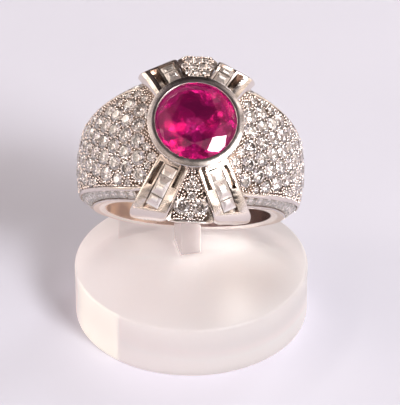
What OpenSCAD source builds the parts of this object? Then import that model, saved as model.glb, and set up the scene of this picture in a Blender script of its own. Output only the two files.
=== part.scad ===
// Domed cocktail ring: a round ruby in a bezel, four channel bars of baguettes, two shoulders of small
// brilliants and bevelled side rows, standing with its head tipped forward on a plain acrylic stand.
// Millimetres, Z up, front is -Y. The origin is the middle of the stand's underside.
// The ring's own frame has the finger along Y and the head towards +Z, and is tipped into place last.

/* [Finger band] */
// Radius of the finger hole
finger_r = 8.65; // [8.4:0.05:8.9]
// Radius of the domed top measured from the finger axis
crown_r = 12.05; // [11.9:0.05:12.3]
// Radius of the dome's curve from front to back
dome_arc = 16.7; // [15.5:0.1:18]
// Space between a stone and the metal or stone beside it
stone_gap = 0.06; // [0.05:0.01:0.08]

/* [Bezel and ruby] */
// Height of the bezel's rim over the finger axis
bezel_top = 14.2; // [14:0.05:14.5]
// Outer radius of the bezel at its rim
bezel_r = 4.97; // [4.8:0.01:5.1]
// Outer radius of the bezel where it meets the dome
bezel_foot_r = 4.5; // [4.4:0.01:4.6]
// Radius of the ruby at its girdle
ruby_r = 4.28; // [4.15:0.01:4.3]
// Height of the ruby's girdle over the finger axis
ruby_girdle = 13.5; // [13.4:0.05:13.6]
// Height of the ruby's crown
ruby_crown = 0.78; // [0.6:0.01:0.9]
// Depth of the ruby's pavilion
ruby_depth = 3.3; // [3:0.05:3.4]

/* [Channel bars] */
// Height of the bars over the dome
bar_lift = 0.5; // [0.3:0.05:0.7]
// Baguettes in each bar
bar_stones = 4; // [3:1:5]
// Depth of the stone channel in a bar
bar_channel_depth = 0.9; // [0.85:0.05:1]

/* [Small stones] */
// Spacing of the brilliants on the shoulders
row_step = 1.78; // [1.76:0.01:1.9]
// Girdle radius of a shoulder brilliant
brilliant_r = 0.81; // [0.7:0.01:0.81]
// Depth of the beds that hold the brilliants
bed_depth = 0.98; // [0.96:0.01:1.02]
// Baguettes in each side row
side_stones = 9; // [7:1:10]

/* [Stand] */
// Diameter of the stand's disc
base_d = 25; // [24:0.5:30]
// Thickness of the stand's disc
base_h = 6; // [5:0.5:8]
// Width of the clear upright
clip_w = 2.1; // [1.6:0.1:2.4]
// Depth of the clear upright from front to back
clip_d = 3.5; // [3:0.1:3.5]
// Turn of the upright about its own length
clip_turn = 13; // [0:1:16]

/* [Ring on the stand] */
// Forward tip of the head
tip = 36; // [35:0.5:37]
// Lean of the head to the right
lean = 2.1; // [1.5:0.1:3]
// Turn of the ring on the stand
turn = -1.7; // [-2.5:0.1:0]
// Turn of the ring about the finger axis
finger_turn = 1.6; // [0:0.1:2.5]

/* [Hidden] */
corners = ["front_right", "front_left", "back_right", "back_left"];
function bar_node(c, k) = str("bar_baguette_", c, "_", k);
function side_node(c) = str("side_baguettes_", c);

gold = [0.86, 0.84, 0.82];
ruby_red = [0.72, 0.02, 0.24];
ice = [0.93, 0.95, 0.98];
frosted = [0.96, 0.93, 0.93];
clear_acrylic = [0.93, 0.94, 0.96, 0.6];

// The ring's middle over the stand's underside
ring_middle = [-0.05, 2.8, base_h + 9.96];

// Depth inside the finger hole to which solids run before the hole is cut
core_r = finger_r - 0.45;

// The band and its shoulders sit a little forward of the head
shoulder_shift = [0, -0.19, 0];

// Angles go up from the side of the finger, -90 under it and 90 at the head
bed_start = -10;
side_row_start = -6;
side_row_end = 59;
rail_end = 62;
step_turn = 0.4;

// Side rows: depth of their channel and width of the rails beside it
side_channel = 0.5;
side_rail = 0.18;
bed_rail = 0.24;

// The band's section at each angle. The foot is the bevel's lower edge, the brow its upper edge
//  angle, rim half width, foot radius, foot half width, brow radius, brow half width, crown radius
band_table = [
    [-90, 3.00, 9.30, 3.20, 10.15, 2.45, 10.40],
    [-60, 3.25, 9.35, 3.45, 10.20, 2.65, 10.50],
    [-30, 3.80, 9.60, 4.00, 10.80, 3.05, 11.15],
    [-10, 4.30, 9.95, 4.55, 11.50, 3.30, 11.90],
    [  0, 4.60, 10.05, 4.80, 11.62, 3.52, 12.05],
    [  8, 4.80, 10.05, 5.00, 11.52, 3.72, 12.05],
    [ 30, 5.50, 9.85, 5.66, 11.10, 4.72, 12.05],
    [ 52, 6.30, 9.60, 6.50, 10.72, 5.59, 12.05],
    [ 62, 6.45, 9.50, 6.62, 10.62, 5.75, 12.05],
    [ 90, 6.45, 9.50, 6.62, 10.62, 5.75, 12.05]
];
function column(i) = [for (row = band_table) [row[0], row[i]]];
rim_column = column(1);
foot_r_column = column(2);
foot_w_column = column(3);
brow_r_column = column(4);
brow_w_column = column(5);
crown_column = column(6);
function rim_w(q) = lookup(q, rim_column);
function foot_r(q) = lookup(q, foot_r_column);
function foot_w(q) = lookup(q, foot_w_column);
function brow_r(q) = lookup(q, brow_r_column);
function brow_w(q) = lookup(q, brow_w_column);

// Dome radius at a distance y along the finger
function dome(y) = crown_r - dome_arc + sqrt(dome_arc * dome_arc - y * y);

// Outer radius of the band at angle q and distance y, a curve from crown to brow, and its slope there
function skin(q, y) =
    let (top = lookup(q, crown_column), share = y / brow_w(q))
    top - (top - brow_r(q)) * share * share;
function skin_tilt(q, y) = atan(2 * (lookup(q, crown_column) - brow_r(q)) * y / pow(brow_w(q), 2));

// Small vector helpers
function mix(a, b, s) = a + (b - a) * s;
function unit(v) = v / norm(v);
function flat(lists) = [for (l = lists) each l];
function lift_out(q, r, y) = [r * cos(q), y, r * sin(q)];

// Faces of a skin drawn through n rings of m points, closed on itself or capped at both ends
function skin_faces(n, m, closed) = concat(
    [for (i = [0:(closed ? n - 1 : n - 2)], j = [0:m - 1])
        let (k = (j + 1) % m, up = ((i + 1) % n) * m)
        each [[i * m + j, up + k, i * m + k], [i * m + j, up + j, up + k]]],
    closed ? [] : [[for (j = [0:m - 1]) j], [for (j = [m - 1:-1:0]) (n - 1) * m + j]]
);
module skin_over(rings, closed = false) {
    polyhedron(flat(rings), skin_faces(len(rings), len(rings[0]), closed));
}

// One half of the band's section, from the finger hole out to the middle of the dome, as [radius, y]
function half_section(q) =
    let (
        rowed = q > side_row_start && q < side_row_end,
        bedded = q > bed_start,
        railed = q < rail_end,
        foot = [foot_r(q), foot_w(q)],
        brow = [brow_r(q), brow_w(q)],
        bevel = unit(brow - foot),
        deep = rowed ? side_channel : 0,
        sink = bedded ? bed_depth : 0,
        rail_y = brow[1] - bed_rail,
        rail_r = skin(q, rail_y),
        bed_y = rail_y - 0.04,
        brow_drop = railed ? 0 : bed_depth
    )
    [
        [core_r, rim_w(q)],
        foot,
        foot + bevel * side_rail,
        foot + bevel * (side_rail + 0.01) + into(bevel) * deep,
        brow - bevel * (side_rail + 0.01) + into(bevel) * deep,
        brow - bevel * side_rail - [brow_drop, 0],
        brow - [brow_drop, 0],
        [rail_r - brow_drop, rail_y],
        [skin(q, bed_y) - sink, bed_y],
        [skin(q, bed_y * 0.66) - sink, bed_y * 0.66],
        [skin(q, bed_y * 0.33) - sink, bed_y * 0.33]
    ];

// Direction into the metal from the bevel
function into(bevel) = [-bevel[1] * sign(bevel[0]), bevel[0] * sign(bevel[0])] * -1;

function whole_section(q) =
    let (half = half_section(q), n = len(half), sink = q > bed_start ? bed_depth : 0)
    concat(
        [for (p = half) [p[0], -p[1]]],
        [[skin(q, 0) - sink, 0]],
        [for (i = [n - 1:-1:0]) half[i]]
    );

band_angles = [
    -90, -78, -66, -54, -43, -33, -24, -17, bed_start - step_turn, bed_start + step_turn,
    side_row_start - step_turn / 2, side_row_start + step_turn / 2, 0, 6, 12, 18, 24, 30, 36, 42, 48, 54,
    side_row_end - step_turn / 2, side_row_end + step_turn / 2,
    rail_end - step_turn / 2, rail_end + step_turn / 2, 68, 75, 82, 90
];
function ring_at(q, side) = [for (p = whole_section(q)) lift_out(side > 0 ? q : 180 - q, p[0], p[1])];

module band_body() {
    n = len(band_angles);
    skin_over(concat(
        [for (i = [0:n - 1]) ring_at(band_angles[i], 1)],
        [for (i = [n - 2:-1:1]) ring_at(band_angles[i], -1)]
    ), closed = true);
}

// A bar in the corner at the back right: t runs from the bezel to the bar's end, u from its inner to its
// outer edge. Pairs hold the value for the front bars, then for the back bars
bar_inner = [[0.45, 4.5], [2.35, 8.7]];
bar_outer = [[3.65, 3.2], [6.12, 7.7]];
bar_ends = [[1.09, 1.11], [0.97, 0.87]];

// Shares of a bar's width that its outer wall leans out by, at the foot and at the shoulder
bar_flare = [0, 0.12];
bar_bulge = [0, 0.1];

// Rounding of a bar's long edges: its share of the width, and its fall at the inner and the outer edge
bar_round = [0.05, 0.06];
inner_fall = [0.16, 0.2];
outer_fall = [0.16, 0.42];

// Channels and slots of a bar, as ranges of u and t
channel_u = [[0.285, 0.715], [0.14, 0.56]];
channel_t = [[0.06, 0.96], [0.06, 0.85]];
inner_slot_u = [[0.09, 0.235], [0, 0.08]];
inner_slot_t = [[0.02, 0.47], [0.1, 0.72]];
outer_slot_u = [[0.765, 0.885], [0.61, 0.81]];
outer_slot_t = [[0.05, 0.53], [0.05, 0.79]];
function bar_xy(t, u) = mix(mix(bar_inner[0], bar_inner[1], t), mix(bar_outer[0], bar_outer[1], t), u);
function on_radius(xy, r) = [xy[0], xy[1], sqrt(r * r - xy[0] * xy[0])];
function bar_point(t, u, drop) = let (p = bar_xy(t, u)) on_radius(p, dome(p[1]) + bar_lift - drop);

// The bar's body in steps: share of its length, drop of the top, rise of the underside, rounding of corners
bar_steps = [
    [-0.08, 0, 0, 0], [0.2, 0, 0, 0], [0.4, 0, 0, 0], [0.58, 0, 0, 0], [0.66, 0, 0.5, 0], [0.74, 0, 1, 0],
    [0.91, 0, 1, 0], [0.945, 0.06, 1, 0.01], [0.97, 0.22, 1, 0.04], [0.99, 0.46, 1, 0.1], [1, 0.8, 1, 0.16]
];
bar_end_t = 1.02;
round_share = 0.29;
module bar_body(side) {
    ends = bar_ends[side];
    rounding = bar_round[side];
    bulge = bar_bulge[side];
    half_round = rounding * round_share;
    fall_in = inner_fall[side];
    fall_out = outer_fall[side];
    skin_over([for (s = bar_steps)
        let (
            t0 = s[0] * ends[0],
            t1 = s[0] * ends[1],
            inner = s[3],
            outer = 1 - s[3],
            low = bar_xy(t1, outer + bar_flare[side]),
            low_r = mix(core_r, dome(low[1]) + bar_lift - bar_end_t, s[2])
        )
        [
            on_radius(bar_xy(t0, inner), core_r),
            bar_point(t0, inner, s[1] + fall_in),
            bar_point(t0, inner + half_round, s[1] + fall_in * round_share),
            bar_point(t0, inner + rounding, s[1]),
            bar_point(t1, outer - rounding, s[1]),
            bar_point(t1, outer + bulge * 0.6 - half_round, s[1] + fall_out * round_share),
            bar_point(t1, outer + bulge, s[1] + fall_out),
            on_radius(low, low_r)
        ]
    ]);
}

// A cut down into a bar over a range of t and u, to a depth under its top
slot_depth = 1.3;
module bar_cut(ts, us, depth) {
    steps = [for (i = [0:4]) mix(ts[0], ts[1], i / 4)];
    skin_over([for (t = steps) [
        bar_point(t, us[0], depth),
        bar_point(t, us[0], -1),
        bar_point(t, us[1], -1),
        bar_point(t, us[1], depth)
    ]]);
}
module bar_cuts(side) {
    bar_cut(channel_t[side], channel_u[side], bar_channel_depth);
    bar_cut(inner_slot_t[side], inner_slot_u[side], slot_depth);
    bar_cut(outer_slot_t[side], outer_slot_u[side], slot_depth);
}

// The fan between two bars: its floor, and a low lip round its outer end
fan_ends = [4.4, 9.12];
fan_lip_drop = 0.3;
fan_floor_least = finger_r + 0.3;
fan_spread = [0.452, 0.36];
function fan_half(y, spread) =
    let (full = 0.6 + (min(y, 8.7) - 4.5) * spread)
    y < 8.7 ? full : full - 2.2 * pow((y - 8.7) / 0.6, 2) * full / 2.5;
fan_depth = 1.12;
function fan_floor(y) = max(fan_floor_least, dome(y) - fan_depth);
module fan_body(side) {
    ys = [fan_ends[0], 5.5, 6.6, 7.6, 8.3, 8.7, 8.9, 9.02];
    lip_ys = [9.03, fan_ends[1]];
    tops = concat([for (y = ys) [y, fan_floor(y)]], [for (y = lip_ys) [y, dome(y) - fan_lip_drop]]);
    skin_over([for (s = tops) let (w = fan_half(s[0], fan_spread[side])) [
        [-w, s[0], sqrt(core_r * core_r - w * w)],
        [-w, s[0], sqrt(s[1] * s[1] - w * w)],
        [0, s[0], s[1]],
        [w, s[0], sqrt(s[1] * s[1] - w * w)],
        [w, s[0], sqrt(core_r * core_r - w * w)],
        [0, s[0], core_r]
    ]]);
}

// The bezel: a cup that flares to its rim, with a turned-over lip and a seat for the ruby
lip_r = ruby_r - 0.13;
seat_low = 10.65;
window_r = 1;
module bezel_body() {
    rotate_extrude($fn = 96) polygon([
        [0, 9.4], [bezel_foot_r, 9.4], [bezel_foot_r, 11.3], [bezel_r - 0.02, bezel_top - 0.25],
        [bezel_r, bezel_top - 0.12], [bezel_r - 0.12, bezel_top], [0, bezel_top]
    ]);
}
module bezel_seat() {
    rotate_extrude($fn = 96) polygon([
        [0, core_r - 0.5], [window_r, core_r - 0.5], [window_r, seat_low],
        [ruby_r + stone_gap, ruby_girdle - 0.16], [ruby_r + stone_gap, ruby_girdle + 0.1],
        [lip_r, ruby_girdle + 0.18], [lip_r, bezel_top - 0.12],
        [lip_r + 0.12, bezel_top], [lip_r + 0.12, bezel_top + 1], [0, bezel_top + 1]
    ]);
}

// Copies a corner's parts from the back right to a named corner
function on_left(c) = c == "front_left" || c == "back_left" ? 1 : 0;
function in_front(c) = c == "front_left" || c == "front_right" ? 1 : 0;
module to_corner(c) {
    mirror([on_left(c), 0, 0]) mirror([0, in_front(c), 0]) children();
}

module metal() {
    difference() {
        union() {
            translate(shoulder_shift) band_body();
            bezel_body();
            for (c = corners) to_corner(c) bar_body(1 - in_front(c));
            mirror([0, 1, 0]) fan_body(0);
            fan_body(1);
        }
        rotate([90, 0, 0]) cylinder(r = finger_r, h = 30, center = true, $fn = 180);
        bezel_seat();
        for (c = corners) to_corner(c) bar_cuts(1 - in_front(c));
    }
}

// A cut stone over an outline: a table, a row of crown facets, a row of pavilion facets and a small keel
function cut_points(outline, table, crown, keel, depth) = concat(
    [for (p = outline) [p[0] * table, p[1] * table, crown]],
    [for (p = outline) [p[0], p[1], 0]],
    [for (p = outline) [p[0] * keel, p[1] * keel, -depth]]
);
function round_outline(r, n) = [for (i = [0:n - 1]) r * [cos(i * 360 / n), sin(i * 360 / n)]];
function tapered_outline(w0, w1, l) =
    [[-w0 / 2, -l / 2], [w0 / 2, -l / 2], [w1 / 2, l / 2], [-w1 / 2, l / 2]];

// Puts a stone's points at a place, with its own x, y and z directions
function put(points, place, x, y, z) = [for (p = points) place + x * p[0] + y * p[1] + z * p[2]];

// Draws stones as one field of separate solids. Each is a list of points in three equal rings
module stones(sets) {
    n = len(sets[0]) / 3;
    faces = concat(
        [[for (i = [n - 1:-1:0]) i]],
        [[for (i = [0:n - 1]) 2 * n + i]],
        [for (i = [0:n - 1], k = [0, 1])
            let (j = (i + 1) % n, a = k * n)
            [a + i, a + j, a + n + j, a + n + i]]
    );
    polyhedron(
        flat(sets),
        [for (s = [0:len(sets) - 1], f = faces) [for (v = f) v + s * 3 * n]]
    );
}

// Round brilliants: heights as shares of the girdle radius
function brilliant(r, n) = cut_points(round_outline(r, n), 0.56, r * 0.32, 0.06, r * 0.84);
full_sides = 12;
small_sides = 8;
table_proud = 0.04;

// A brilliant at angle q from the right side and distance y, square to a surface, its table just over it
function set_in(q, y, surface_r, tilt, r, n) =
    let (
        out = lift_out(q, 1, 0),
        z = out * cos(tilt) + [0, 1, 0] * sin(tilt),
        x = [0, 1, 0] * cos(tilt) - out * sin(tilt),
        place = lift_out(q, surface_r, y) + z * (table_proud - r * 0.32)
    )
    put(brilliant(r, n), place, x, cross(z, x), z);
function on_skin(q, y, r, n) = set_in(q, y, skin(q, y), skin_tilt(q, y), r, n);
function on_dome(q, y, r) = set_in(q, y, dome(y), asin(y / dome_arc), r, full_sides);

// Room kept for the outward lean of a back bar's wall
bar_foot_out = 0.5;

// Distance of a point on the shoulder from a bar's outer wall
function clear_of_bar(q, y) =
    let (
        p = [skin(q, y) * cos(q), abs(y + shoulder_shift[1])],
        along = unit(bar_outer[1] - bar_outer[0]),
        off = p - bar_outer[0]
    )
    off[0] * along[1] - off[1] * along[0] - (y > 0 ? bar_foot_out : 0);

function has_room(q, y, r) =
    let (x = skin(q, y) * cos(q))
    q - asin((r + 0.1) / crown_r) > bed_start
    && abs(y) < brow_w(q) - bed_rail - stone_gap - 0.02 - r
    && norm([x, y + shoulder_shift[1]]) > bezel_foot_r + 0.24 + r
    && clear_of_bar(q, y) > r + stone_gap + 0.12;

// The shoulder's stones stand in rows across the finger, every second row half a step on. A place is
// [angle, y, radius]
shoulder_rows = 14;
shoulder_steps = 4;
shoulder_first = -5.5;
turn_per_row = row_step * sin(60) / crown_r * 180 / PI;
function row_places() = [
    for (k = [0:shoulder_rows], j = [-shoulder_steps:shoulder_steps])
        let (q = shoulder_first + k * turn_per_row, y = (j + (k % 2) / 2) * row_step)
        if (has_room(q, y, brilliant_r)) [q, y, brilliant_r]
];

// Smaller stones fill the room left along the edges, tried spot by spot
fill_r = [0.74, 0.62, 0.5, 0.41, 0.34];
fill_step = 0.27;
fill_space = 0.14;
function seat_point(s) = lift_out(s[0], skin(s[0], s[1]), s[1]);
function stands_clear(s, placed) =
    len([for (p = placed) if (norm(seat_point(s) - seat_point(p)) < s[2] + p[2] + fill_space) 1]) == 0;
function fill(placed, spots, i = 0) =
    i == len(spots) ? placed
    : fill(stands_clear(spots[i], placed) ? concat(placed, [spots[i]]) : placed, spots, i + 1);
function fill_spots(r) =
    let (turn_step = fill_step / crown_r * 180 / PI)
    [for (q = [bed_start:turn_step:80], y = [-brow_w(90):fill_step:brow_w(90)])
        if (has_room(q, y, r)) [q, y, r]];
function filled(placed, k = 0) =
    k == len(fill_r) ? placed : filled(fill(placed, fill_spots(fill_r[k])), k + 1);
module shoulder_stones() {
    rows = row_places();
    all_places = filled(rows);
    smaller = [for (i = [len(rows):len(all_places) - 1]) all_places[i]];
    stones([for (s = rows) on_skin(s[0], s[1], s[2], full_sides)]);
    stones([for (s = smaller) on_skin(s[0], s[1], s[2], small_sides)]);
}

// The fans' stones, front and back, as x, y, girdle radius
fan_places = [
    [
        [0, 5.3, 0.36], [0.43, 6.02, 0.37], [-0.43, 6.02, 0.37], [0, 6.86, 0.42],
        [0.95, 7.84, 0.85], [-0.95, 7.84, 0.85], [0, 8.6, 0.34]
    ],
    [
        [0, 5.3, 0.36], [0.43, 6.02, 0.37], [-0.43, 6.02, 0.37],
        [0, 6.84, 0.4], [0.91, 6.84, 0.39], [-0.91, 6.84, 0.39],
        [0.46, 7.64, 0.41], [-0.46, 7.64, 0.41], [1.36, 7.66, 0.38], [-1.36, 7.66, 0.38],
        [0, 8.46, 0.4], [0.91, 8.46, 0.4], [-0.91, 8.46, 0.4]
    ]
];
module fan_stones(side) {
    stones([for (s = fan_places[side]) on_dome(acos(s[0] / dome(s[1])), s[1], s[2])]);
}

// A step-cut baguette in a bar, the k-th from the bezel
baguette_w = 1.34;
baguette_space = 0.12;
module bar_baguette(side, k) {
    ts = channel_t[side] + [0.025, -0.025];
    u = (channel_u[side][0] + channel_u[side][1]) / 2;
    t = mix(ts[0], ts[1], (k - 0.5) / bar_stones);
    half_step = (ts[1] - ts[0]) / bar_stones / 2;
    step = bar_point(t + half_step, u, 0) - bar_point(t - half_step, u, 0);
    along = unit(step);
    across = bar_point(t, u + 0.1, 0) - bar_point(t, u - 0.1, 0);
    z = unit(cross(across, along));
    x = cross(along, z);
    outline = tapered_outline(baguette_w, baguette_w, norm(step) - baguette_space);
    place = bar_point(t, u, 0) - z * 0.22;
    stones([put(cut_points(outline, 0.6, 0.24, 0.34, 0.5), place, x, along, z)]);
}

// A side row: tapered baguettes set across the bevel
side_pitch = (side_row_end - side_row_start - 4) / side_stones;
side_spread = 0.13;
function bevel_middle(q) = lift_out(q, (foot_r(q) + brow_r(q)) / 2, (foot_w(q) + brow_w(q)) / 2);
function side_stone(q) =
    let (
        bevel = [brow_r(q) - foot_r(q), brow_w(q) - foot_w(q)],
        l = norm(bevel) - 2 * (side_rail + stone_gap + 0.055),
        x = unit(bevel_middle(q + 1) - bevel_middle(q - 1)),
        z = unit(cross(x, lift_out(q, bevel[0], bevel[1]))),
        turn_step = side_pitch * PI / 180,
        w0 = (foot_r(q) + side_rail) * turn_step - side_spread,
        w1 = (brow_r(q) - side_rail) * turn_step - side_spread
    )
    put(
        cut_points(tapered_outline(w0, w1, l), 0.6, 0.12, 0.4, 0.3),
        bevel_middle(q) - z * 0.08, x, cross(z, x), z
    );
module side_row() {
    stones([for (i = [1:side_stones]) side_stone(side_row_start + 1 + (i - 0.5) * side_pitch)]);
}

// The ruby: table, stars, kites and girdle facets over mains and girdle facets, eight-fold
ruby_table = 0.56;
function spun(r, z, n, shift) =
    [for (i = [0:n - 1]) let (a = (i + shift) * 360 / n) [r * cos(a), r * sin(a), z]];
module ruby_stone() {
    n = 8;
    table = spun(ruby_r * ruby_table, ruby_crown, n, 0);
    stars = spun(ruby_r * 0.79, ruby_crown * 0.56, n, 0.5);
    girdle = spun(ruby_r, 0.05, 2 * n, 0);
    lower = spun(ruby_r, -0.05, 2 * n, 0);
    mains = spun(ruby_r * 0.36, -ruby_depth * 0.66, n, 0.5);
    points = concat(table, stars, girdle, lower, mains, [[0, 0, -ruby_depth]]);
    s = n;
    g = 2 * n;
    l = 4 * n;
    m = 6 * n;
    tip_point = 7 * n;
    translate([0, 0, ruby_girdle]) polyhedron(points, concat(
        [[for (i = [n - 1:-1:0]) i]],
        [for (i = [0:n - 1]) let (j = (i + 1) % n) each [
            [i, j, s + i],
            [j, g + 2 * j, s + i],
            [i, s + i, g + 2 * i],
            [s + i, g + 2 * i + 1, g + 2 * i],
            [s + i, g + 2 * j, g + 2 * i + 1],
            [m + i, l + 2 * i, l + 2 * i + 1],
            [m + i, l + 2 * i + 1, l + 2 * j],
            [m + i, l + 2 * j, m + j],
            [m + i, m + j, tip_point]
        ]],
        [for (i = [0:2 * n - 1]) let (j = (i + 1) % (2 * n)) [g + i, g + j, l + j, l + i]]
    ));
}

// Stand
edge_round = 0.3;
clip_foot = [-0.42, 3.12];
socket_depth = 2.5;
clip_play = 0.06;
module stand_base() {
    flat_r = base_d / 2 - edge_round;
    color(frosted) difference() {
        rotate_extrude($fn = 120) polygon(concat(
            [[0, 0], [flat_r, 0]],
            [for (a = [-60:30:0]) [flat_r + edge_round * cos(a), edge_round + edge_round * sin(a)]],
            [for (a = [0:30:90]) [flat_r + edge_round * cos(a), base_h - edge_round + edge_round * sin(a)]],
            [[0, base_h]]
        ));
        translate([clip_foot[0], clip_foot[1], base_h]) rotate([0, 0, clip_turn])
            cube([clip_w + 2 * clip_play, clip_d + 2 * clip_play, 2 * socket_depth], center = true);
    }
}

// The upright stands in the disc and ends under the head, its top sloped along the finger hole
clip_gap = 0.7;
clip_back_cut = 2.4;
function clip_top(y) =
    ring_middle[2] + (finger_r - clip_gap) / cos(tip) + (clip_foot[1] + y - ring_middle[1]) * tan(tip);
module stand_clip() {
    low = base_h - socket_depth + clip_play;
    front = -clip_d / 2;
    back = clip_d / 2;
    color(clear_acrylic) translate([clip_foot[0], clip_foot[1], 0]) rotate([0, 0, clip_turn])
        rotate([90, 0, 90]) linear_extrude(clip_w, center = true) polygon([
            [front, low], [back, low], [back, clip_top(back) - clip_back_cut], [0, clip_top(0)],
            [front, clip_top(front)]
        ]);
}

// Moves what is made in the ring's own frame to its place on the stand
module on_stand() {
    translate(ring_middle) rotate([0, 0, turn]) rotate([0, lean, 0]) rotate([tip, 0, 0])
        rotate([0, finger_turn, 0]) children();
}

module ring_mount() { color(gold) on_stand() metal(); }
module ruby() { color(ruby_red) on_stand() ruby_stone(); }
module shoulder(side) {
    color(ice) on_stand() mirror([side, 0, 0]) translate(shoulder_shift) shoulder_stones();
}
module shoulder_stones_right() { shoulder(0); }
module shoulder_stones_left() { shoulder(1); }
module front_stones() { color(ice) on_stand() mirror([0, 1, 0]) fan_stones(0); }
module back_stones() { color(ice) on_stand() fan_stones(1); }
module bar_stone(c, k) { color(ice) on_stand() to_corner(c) bar_baguette(1 - in_front(c), k); }
module side_baguettes(c) { color(ice) on_stand() translate(shoulder_shift) to_corner(c) side_row(); }

stand_base();
stand_clip();
ring_mount();
ruby();
for (c = corners, k = [1:bar_stones]) bar_stone(c, k);
for (c = corners) side_baguettes(c);
shoulder_stones_left();
shoulder_stones_right();
front_stones();
back_stones();
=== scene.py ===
# %% [markdown]
# # A ruby and diamond ring on its acrylic stand
#
# The CAD model gives every solid its place and its real size. This notebook loads it as a fixed frame and
# dresses it: the white gold gets rounded edges, bead-set seats and a polished skin, the plain CAD stones
# become properly cut ones, and the stand becomes frosted and clear acrylic. Everything is in metres, in the
# frame's own axes.

# %% Load the frame
import math

import bmesh
import bpy
import numpy as np
from mathutils import Matrix, Vector
from mathutils.geometry import delaunay_2d_cdt


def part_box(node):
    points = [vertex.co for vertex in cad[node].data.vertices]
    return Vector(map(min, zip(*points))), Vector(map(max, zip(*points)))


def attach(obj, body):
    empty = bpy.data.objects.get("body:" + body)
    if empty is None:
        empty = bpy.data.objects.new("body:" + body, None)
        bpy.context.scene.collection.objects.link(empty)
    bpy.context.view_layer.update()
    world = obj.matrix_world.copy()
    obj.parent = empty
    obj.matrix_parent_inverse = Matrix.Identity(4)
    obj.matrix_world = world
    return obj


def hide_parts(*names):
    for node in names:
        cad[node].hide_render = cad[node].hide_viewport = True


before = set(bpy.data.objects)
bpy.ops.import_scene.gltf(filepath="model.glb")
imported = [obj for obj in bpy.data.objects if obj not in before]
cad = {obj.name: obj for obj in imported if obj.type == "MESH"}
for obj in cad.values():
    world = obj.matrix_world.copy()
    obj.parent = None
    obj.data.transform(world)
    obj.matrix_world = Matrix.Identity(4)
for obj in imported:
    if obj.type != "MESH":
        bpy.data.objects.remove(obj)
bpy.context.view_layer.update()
MM = 0.001

# %% [markdown]
# ## Colours and shader nodes
#
# A colour picked from a picture is an sRGB hex value, and shaders work in linear light, so one function turns
# hex into linear. Another adds any shader node with its settings and links, which keeps a material a short
# list of steps. Two more make what many finishes need: a soft edge, and effects that count only where all are
# present.


# %% Colours and node helpers
# A Mix node keeps its colour sockets behind those for numbers and vectors, so they are found by their place.
NUMBER_A, NUMBER_B = 2, 3
COLOUR_A, COLOUR_B = 6, 7


def linear(hex_code):
    """An sRGB hex colour as linear red, green, blue and alpha."""
    channels = [int(hex_code[i : i + 2], 16) / 255 for i in (1, 3, 5)]
    return [c / 12.92 if c <= 0.04045 else ((c + 0.055) / 1.055) ** 2.4 for c in channels] + [1.0]


def feed(tree, socket, value):
    """Gives an input its value: a number, a hex colour, another node's output, or the node itself."""
    if isinstance(value, bpy.types.Node):
        value = next(output for output in value.outputs if output.enabled)
    if isinstance(value, bpy.types.NodeSocket):
        tree.links.new(value, socket)
    else:
        socket.default_value = linear(value) if isinstance(value, str) else value


def add(tree, kind, inputs=None, stops=(), **settings):
    """Adds a shader node with its settings and links. Stops belong to a colour ramp."""
    node = tree.nodes.new("ShaderNode" + kind)
    for name, value in settings.items():
        setattr(node, name, value)
    for name, value in (inputs or {}).items():
        feed(tree, node.inputs[name], value)
    for i, (position, shade) in enumerate(stops):
        elements = node.color_ramp.elements
        element = elements[i] if i < len(elements) else elements.new(1.0)
        element.position = position
        element.color = linear(shade) if isinstance(shade, str) else [shade, shade, shade, 1.0]
    return node


def new_material(name):
    """An empty material, its node tree, and the place of each point on the object."""
    material = bpy.data.materials.new(name)
    material.use_nodes = True
    tree = material.node_tree
    tree.nodes.clear()
    print("material:", name)
    return material, tree, add(tree, "TexCoord").outputs["Object"]


def fade(tree, value, start, end):
    """A soft edge: 1 where a shader value stands at the start, smoothly down to 0 at the end."""
    edge = {"Value": value, "From Min": start, "From Max": end, "To Min": 1.0, "To Max": 0.0}
    return add(tree, "MapRange", edge, interpolation_type="SMOOTHSTEP")


def product(tree, result, *others):
    """Shader values multiplied together: strong only where all of them are."""
    for other in others:
        result = add(tree, "Math", {0: result, 1: other}, operation="MULTIPLY")
    return result


print("pale paper is", [round(c, 2) for c in linear("#CECEDC")], "in linear light")

# %% [markdown]
# ## Where the ring is
#
# The ring stands tipped on its stand, so its own directions are not the frame's. Typed in as angles, they
# could drift from the CAD model, so they are measured from the CAD stones: the ruby's table looks along the
# ring's axis Z, and the line from the small front fan to the back fan gives Y, the way a finger goes in.


# %% Measure the CAD stones
def solids_of(obj):
    """The loose solids of a CAD node, each as (corners, faces as lists of corner numbers)."""
    bm = bmesh.new()
    bm.from_mesh(obj.data)
    bmesh.ops.remove_doubles(bm, verts=bm.verts, dist=0.001 * MM)
    solids, seen = [], set()
    for start in bm.verts:
        if start in seen:
            continue
        seen.add(start)
        group = [start]
        for vert in group:
            for edge in vert.link_edges:
                other = edge.other_vert(vert)
                if other not in seen:
                    seen.add(other)
                    group.append(other)
        number = {vert: i for i, vert in enumerate(group)}
        corners = np.array([vert.co for vert in group])
        # A dict keeps their order, which a set doesn't, so the notebook gives the same stones every time.
        faces = dict.fromkeys(face for vert in group for face in vert.link_faces)
        solids.append((corners, [[number[v] for v in face.verts] for face in faces]))
    bm.free()
    return solids


def table_normal(corners, faces):
    """The direction of a cut stone's table, the flat that has the largest area."""
    area = {}
    for face in faces:
        a, b, c = (corners[i] for i in face[:3])
        doubled = np.cross(b - a, c - a)
        size = np.linalg.norm(doubled)
        if size > 0:
            key = tuple(np.round(doubled / size, 2) + 0.0)
            total, normal = area.get(key, (0.0, doubled / size))
            area[key] = (total + size / 2, normal)
    return max(area.values(), key=lambda pair: pair[0])[1]


def middle_of(node):
    """The middle of a CAD node's box."""
    low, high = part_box(node)
    return (low + high) / 2


FINGER_RADIUS = 8.65 * MM
RUBY_CROWN = 0.78 * MM
RUBY_GIRDLE_HEIGHT = 13.5 * MM

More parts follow.
